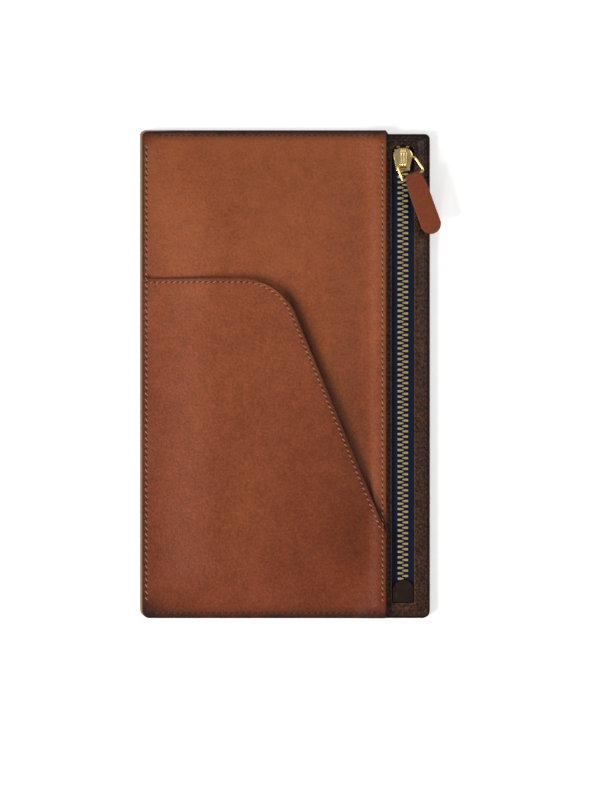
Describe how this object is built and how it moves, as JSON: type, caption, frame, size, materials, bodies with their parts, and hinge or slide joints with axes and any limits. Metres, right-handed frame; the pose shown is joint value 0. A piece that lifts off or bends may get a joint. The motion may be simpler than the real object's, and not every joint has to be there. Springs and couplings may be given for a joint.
{
  "type": "travel document organizer",
  "caption": "Slim upright zipped leather organizer for travel papers, with a slanted front slip pocket, a full-height metal zip down one side and a leather pull.",
  "frame": {"origin": "centre of the back face, which lies on the table", "axes": "+Z out of the front face, +Y to the end where the zip slider parks, +X towards the zip side"},
  "size_m": [0.1358, 0.22, 0.0107],
  "materials": {
    "tan_leather": "burnished vegetable-tanned leather, satin",
    "back_leather": "burnished leather with a pale raw edge, satin",
    "dark_leather": "dark brown waxed leather, satin",
    "board": "bonded leather board, matte",
    "lining": "fine woven cotton lining, matte",
    "zip_tape": "woven navy polyester tape, matte",
    "zip_brass": "polished pale brass",
    "slider_brass": "tumbled pale brass",
    "tan_thread": "waxed thread",
    "brown_thread": "waxed thread"
  },
  "bodies": {
    "case": {"back_panel": "back_leather", "back_board": "board", "back_lining": "lining", "front_lining": "lining", "zip_tape_left": "zip_tape", "zip_tape_right": "zip_tape", "zip_strip": "dark_leather", "front_panel": "tan_leather", "pocket_lining": "lining", "slip_pocket": "tan_leather", "zip_teeth_left": "zip_brass", "zip_teeth_right": "zip_brass", "top_stop_left": "zip_brass", "top_stop_right": "zip_brass", "foot_stop": "zip_brass", "foot_cap": "dark_leather", "stitches_closed_side": "tan_thread", "stitches_top": "tan_thread", "stitches_bottom": "tan_thread", "stitches_panel_side": "tan_thread", "stitches_zip_side": "brown_thread", "stitches_window_left": "brown_thread", "stitches_window_right": "brown_thread", "stitches_window_top": "brown_thread", "stitches_mouth": "tan_thread"},
    "slider": {"slider_body": "slider_brass", "slider_crown": "slider_brass"},
    "ring": {"pull_ring": "slider_brass"},
    "pull": {"pull_tab": "tan_leather", "pull_stitch": "tan_thread"}
  },
  "joints": [
    {"name": "zip_slide", "type": "slide", "parent": "case", "child": "slider", "axis": [0, -1, 0], "range_m": [0, 0.1832], "deforming": ["zip_tape_left", "zip_tape_right", "zip_teeth_left", "zip_teeth_right"]},
    {"name": "ring_hinge", "type": "hinge", "parent": "slider", "child": "ring", "pos_m": [0.0532, 0.09555, 0.0086], "axis": [-0.8829, -0.4695, 0], "range_deg": [0, 120]},
    {"name": "pull_hinge", "type": "hinge", "parent": "ring", "child": "pull", "pos_m": [0.05784, 0.08896, 0.0086], "axis": [-0.8829, -0.4695, 0], "range_deg": [0, 40]}
  ]
}
